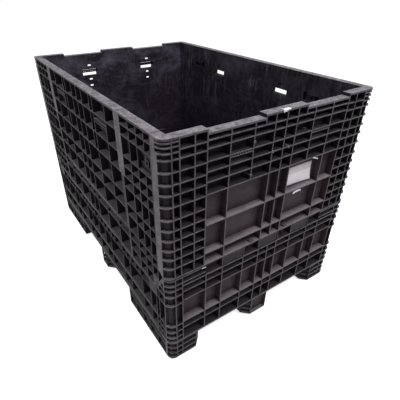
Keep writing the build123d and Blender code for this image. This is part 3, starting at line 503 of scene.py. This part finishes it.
def zinc_steel(name):
    """Dull zinc-plated rod."""
    material = bpy.data.materials.new(name)
    nodes = Nodes(material)
    place = nodes.add("ShaderNodeTexCoord").outputs["Object"]
    spangle = nodes.noise(place, *SPANGLE)
    colour = nodes.mix(nodes.ramp(spangle, *SPANGLE_RANGE), ZINC, tuple(ZINC_DARK * c for c in ZINC))
    nodes.surface(colour, nodes.ramp(spangle, *GRAIN_RANGE, *ZINC_ROUGH), metallic=1.0)
    return material


def label_paper(name):
    """Plain label paper, a little dirty and crumpled, with painted shade over its upper part."""
    material = bpy.data.materials.new(name)
    nodes = Nodes(material)
    place = nodes.add("ShaderNodeTexCoord").outputs["Object"]
    dirt = nodes.math("MULTIPLY", nodes.pattern(place, *PAPER_DIRT), DIRT_SHADE)
    # painted shade over the label's upper part, and over the scraps higher up
    painted_top_shade = nodes.ramp(nodes.axes(place)["Z"], *LABEL_SHADE_EDGE, 0.0, LABEL_TOP_SHADE)
    shade = nodes.math("MAXIMUM", dirt, painted_top_shade)
    colour = nodes.mix(shade, PAPER, PAPER_DIRT_AND_SHADE)
    nodes.surface(colour, PAPER_ROUGH, nodes.bump(nodes.noise(place, *CREASES), *CREASE_BUMP))
    return material


MATERIALS = {
    "base_plastic": black_plastic("worn_base_plastic", BLACK, 0.55, 1.0),
    "wall_plastic": black_plastic("worn_wall_plastic", WALL_BLACK, 0.5, 1.0),
    "latch_plastic": black_plastic("latch_plastic", LATCH_BLACK, 0.45, 0.4),
    # a lighter copy of the plastic: painted light on the bosses
    "boss_plastic": black_plastic("boss_plastic", BOSS_WITH_PAINTED_LIGHT, 0.5, 1.0),
    "steel_rod": zinc_steel("zinc_steel"),
}
SLOTS = {entry["node"]: entry["material_slot"] for entry in frame["record"]["subparts"]}


def dress_nodes():
    """Gives every CAD node the procedural material of its slot."""
    for name, node in frame["nodes"].items():
        material = MATERIALS[SLOTS[name]]
        if not node.material_slots:
            node.data.materials.append(material)
        for slot in node.material_slots:
            slot.material = material


# ---- Small pieces ----
def add_piece(name, mesh, material, body):
    """Puts a mesh in the scene as a piece that rides on a body."""
    mesh.materials.append(material)
    piece = bpy.data.objects.new(name, mesh)
    bpy.context.scene.collection.objects.link(piece)
    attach(piece, body)
    return piece


def thin_sheet(name, columns, rows, shape, thickness):
    """A thin closed sheet: shape(u, v) gives the point for u and v from 0 to 1, and -Y is its front."""
    bm = bmesh.new()
    grid = [[bm.verts.new(shape(i / columns, j / rows)) for i in range(columns + 1)] for j in range(rows + 1)]
    for j in range(rows):
        for i in range(columns):
            bm.faces.new((grid[j][i], grid[j][i + 1], grid[j + 1][i + 1], grid[j + 1][i]))
    mesh = bpy.data.meshes.new(name)
    bm.normal_update()
    bmesh.ops.solidify(bm, geom=bm.faces[:], thickness=thickness)
    in_order = sorted(bm.faces, key=lambda face: face.calc_center_median()[:])
    for number, face in enumerate(in_order):  # solidify adds the sheet's rim in no steady order
        face.index = number
    bm.faces.sort()
    bm.to_mesh(mesh)
    bm.free()
    for face in mesh.polygons:
        face.use_smooth = True
    return mesh


def blank_label():
    """A blank label on the back of a large cell, lifting a little at a lower corner."""
    (left, low), (right, high) = LABEL_LOW, LABEL_HIGH
    all_over, corner, wave = LABEL_LIFT
    rate, start = LABEL_WAVE
    back = LOW.y + SKIN_DEPTH

    def shape(u, v):
        lift = all_over + corner * u * u * (1 - v) ** 3 + wave * sin(rate * u + start) * (1 - v) * v
        return (left + u * (right - left), back - lift, low + v * (high - low))

    mesh = thin_sheet("blank_label", 28, 18, shape, LABEL_T)
    add_piece("blank_label", mesh, label_paper("label_paper"), "front_wall")


def crumple(point, size, amount):
    """A steady unevenness, the same on every run. A bare number in a point only picks a part of it."""
    return amount * noise.noise(Vector(point) / size)


def paper_scrap(name, start, end, width, curl, body, material):
    """A crumpled strip of paper on the front face, from start to end, standing out where it curls."""
    face = LOW.y
    along = Vector((end[0] - start[0], end[1] - start[1]))
    side = Vector((-along.y, along.x)).normalized() * width

    def shape(u, v):
        ragged = 1.0 + crumple((u, 3.0, face), *SCRAP_RAGS)
        x = start[0] + u * along.x + (v - 0.5) * side.x * ragged
        z = start[1] + u * along.y + (v - 0.5) * side.y * ragged
        out = SCRAP_GAP + curl * u ** 3 + abs(crumple((x, u, z), *SCRAP_CREASES))
        return (x, face - out, z)

    add_piece(name, thin_sheet(name, 16, 6, shape, SCRAP_T), material, body)


def rim_scrap(material):
    """A torn piece of white tape bent over the raised part of the front rim."""
    left, right = RIM_SCRAP
    on_top, down = RIM_SCRAP_REACH
    share, wave, rate, start = RIM_SCRAP_TEAR

    def shape(u, v):
        """Its ends waver, and its lower edge is torn in a wave."""
        x = left + u * (right - left) + crumple((v, u, 1.0), *RIM_SCRAP_ENDS)
        torn = share + wave * sin(rate * u + start) + crumple((u, 7.0, 0.0), *RIM_SCRAP_RAGS)
        travel = v * (on_top + down * torn)
        lift = RIM_SCRAP_GAP + abs(crumple((x, travel, 2.0), *RIM_SCRAP_CREASES))
        if travel < on_top:
            return (x, LOW.y + on_top - travel, HIGH.z + lift)
        return (x, LOW.y - lift, HIGH.z - (travel - on_top))

    mesh = thin_sheet("rim_scrap", 18, 16, shape, SCRAP_T)
    add_piece("rim_scrap", mesh, material, "front_wall")


def pin_boss(name, place, radius, height, root, body):
    """A small moulded boss with a dimple, that rises from its root to a height over its place.

    Its outline gives shares of the radius, and how far out they lie."""
    outline = ((1.0, -root), (0.97, height - 0.0012), (0.86, height - 0.0003), (0.66, height),
               (0.50, height - 0.0004), (0.42, height - 0.0025))
    facing = -1.0 if place[1] < 0 else 1.0
    circle = [(cos(tau * i / BOSS_SIDES), sin(tau * i / BOSS_SIDES)) for i in range(BOSS_SIDES)]
    bm = bmesh.new()
    rings = [
        [bm.verts.new((place[0] + radius * r * x, place[1] + facing * out, place[2] + radius * r * z))
         for x, z in circle]
        for r, out in outline
    ]
    for near_ring, far_ring in zip(rings, rings[1:]):
        for i in range(BOSS_SIDES):
            k = (i + 1) % BOSS_SIDES
            bm.faces.new((near_ring[i], near_ring[k], far_ring[k], far_ring[i]))
    bm.faces.new(rings[-1])
    bm.faces.new(rings[0][::-1])
    bmesh.ops.recalc_face_normals(bm, faces=bm.faces[:])
    mesh = bpy.data.meshes.new(name)
    bm.to_mesh(mesh)
    bm.free()
    add_piece(name, mesh, MATERIALS["boss_plastic"], body)


def chamfered_block(bm, low, high, chamfer):
    """Adds a block with small chamfers to a mesh."""
    corners = [bm.verts.new((x, y, z)) for x in (low[0], high[0]) for y in (low[1], high[1])
               for z in (low[2], high[2])]
    sides = ((0, 1, 3, 2), (4, 6, 7, 5), (0, 4, 5, 1), (2, 3, 7, 6), (0, 2, 6, 4), (1, 5, 7, 3))
    faces = [bm.faces.new([corners[i] for i in side]) for side in sides]
    edges = {edge for face in faces for edge in face.edges}
    bmesh.ops.bevel(bm, geom=list(edges), offset=chamfer, segments=1, affect="EDGES")


def door_grip(side, end):
    """The grip round a door's hand slot: a toothed lip over it, a ledge under it and closed drains."""
    facing = -1.0 if side == "left" else 1.0
    middle = sum(SLOT_COLUMN) / 2 * (-1.0 if end == "front" else 1.0)
    half = (SLOT_COLUMN[1] - SLOT_COLUMN[0]) / 2
    bm = bmesh.new()

    def block(start, stop, near_y, far_y, bottom, top):
        xs = sorted(facing * (HIGH.x - depth) for depth in (start, stop))
        chamfered_block(bm, (xs[0], middle + near_y, bottom), (xs[1], middle + far_y, top), CHAMFER)

    lip, rib = SLOT_LIP
    block(0.0, LIP_DEPTH, -half, half, lip, lip + LIP_T)
    block(0.0, SKIN_DEPTH + SINK, -half, half, rib, rib + RIB)
    pitch = 2 * half / (TEETH + 1)
    for number in range(TEETH):
        y = pitch * (number + 1) - half
        block(SINK, LIP_DEPTH, y - LIP_T / 2, y + LIP_T / 2, lip + LIP_T / 2, rib + LIP_T / 2)
    block(SKIN_DEPTH - 3 * SINK, WALL - GRIP_BACK, -SLOT_HALF, SLOT_HALF, lip, SLOT_TOP)
    block(SKIN_DEPTH - LEDGE, SKIN_DEPTH + SINK, -half, half, SLOT_SILL - LIP_T, SLOT_SILL)
    wide, high = DRAIN_HALF
    for z in DRAINS:
        block(SKIN_DEPTH - 2 * SINK, SKIN_DEPTH + 3 * SINK, -wide, wide, z - high, z + high)
    name = f"{side}_door_{end}_grip"
    mesh = bpy.data.meshes.new(name)
    bmesh.ops.recalc_face_normals(bm, faces=bm.faces[:])
    bm.to_mesh(mesh)
    bm.free()
    add_piece(name, mesh, MATERIALS["wall_plastic"], f"{side}_door")


def small_details():
    """The grips of the doors, the bosses on both end walls, and the scraps of old labels on the front end."""
    for side in ("left", "right"):
        for end in ("front", "back"):
            door_grip(side, end)
    for body, facing in (("front_wall", -1.0), ("back_wall", 1.0)):
        for number, (x, z, deep, radius) in enumerate(BOSSES):
            place = (-facing * x, facing * (HIGH.y - deep), z)
            height = BOSS_RISE[0] if deep else BOSS_RISE[1]
            pin_boss(f"{body}_boss_{number + 1}", place, radius, height, SKIN_DEPTH - deep + SINK, body)
    paper = label_paper("scrap_paper")
    rim_scrap(paper)
    for scrap in SCRAPS:
        paper_scrap(*scrap, paper)


# ---- Stage, light and camera ----
def backdrop_rays(nodes):
    """1 for the rays that show the background: the camera's own, and those off gloss or through glass."""
    path = nodes.add("ShaderNodeLightPath")
    mirrored = nodes.math("MAXIMUM", path.outputs["Is Glossy Ray"], path.outputs["Is Transmission Ray"])
    return nodes.math("MAXIMUM", path.outputs["Is Camera Ray"], mirrored)


def white_floor():
    """A white floor that keeps the container's shadow."""
    mesh = bpy.data.meshes.new("floor")
    signs = ((-1, -1), (1, -1), (1, 1), (-1, 1))
    corners = [(x * FLOOR_HALF, y * FLOOR_HALF, LOW.z - FLOOR_DROP) for x, y in signs]
    mesh.from_pydata(corners, [], [(0, 1, 2, 3)])
    floor = bpy.data.objects.new("floor", mesh)
    bpy.context.scene.collection.objects.link(floor)
    material = bpy.data.materials.new("floor_white")
    nodes = Nodes(material)
    seen = backdrop_rays(nodes)
    diffuse = nodes.add("ShaderNodeBsdfDiffuse")
    diffuse.inputs["Color"].default_value = (*FLOOR, 1.0)
    glow = nodes.add("ShaderNodeEmission")
    nodes.join(nodes.math("MULTIPLY", seen, FLOOR_GLOW), glow.inputs["Strength"])
    both = nodes.add("ShaderNodeAddShader")
    nodes.join(diffuse.outputs[0], both.inputs[0])
    nodes.join(glow.outputs[0], both.inputs[1])
    output = nodes.add("ShaderNodeOutputMaterial")
    nodes.join(both.outputs[0], output.inputs["Surface"])
    mesh.materials.append(material)


def white_world():
    """A soft overcast sky, seen as plain white by the camera."""
    world = bpy.data.worlds.new("overcast")
    bpy.context.scene.world = world
    nodes = Nodes(world)
    seen = backdrop_rays(nodes)
    lit = nodes.add("ShaderNodeBackground")
    lit.inputs["Strength"].default_value = SKY_LIGHT
    plain = nodes.add("ShaderNodeBackground")
    choice = nodes.add("ShaderNodeMixShader")
    nodes.join(seen, choice.inputs[0])
    nodes.join(lit.outputs[0], choice.inputs[1])
    nodes.join(plain.outputs[0], choice.inputs[2])
    output = nodes.add("ShaderNodeOutputWorld")
    nodes.join(choice.outputs[0], output.inputs["Surface"])
    for node in (lit, plain):
        node.inputs["Color"].default_value = (1.0, 1.0, 1.0, 1.0)


def soft_light(name, place, target, size, power):
    """A square area lamp that faces a point."""
    data = bpy.data.lights.new(name, "AREA")
    data.shape = "SQUARE"
    data.size = size
    data.energy = power
    lamp = bpy.data.objects.new(name, data)
    lamp.location = place
    lamp.rotation_euler = (Vector(target) - Vector(place)).to_track_quat("-Z", "Y").to_euler()
    bpy.context.scene.collection.objects.link(lamp)


def make_camera():
    data = bpy.data.cameras.new("camera")
    data.lens = LENS
    data.sensor_width = SENSOR
    data.shift_x, data.shift_y = SHIFT
    data.clip_end = SIGHT
    camera = bpy.data.objects.new("camera", data)
    camera.location = CAMERA_AT
    camera.rotation_euler = (radians(90 - CAMERA_PITCH), 0, -radians(CAMERA_HEADING))
    bpy.context.scene.collection.objects.link(camera)
    bpy.context.scene.camera = camera


dress_nodes()
blank_label()
small_details()
white_floor()
white_world()
for lamp_settings in LAMPS:
    soft_light(*lamp_settings)
make_camera()
bpy.context.scene.view_settings.view_transform = "Standard"
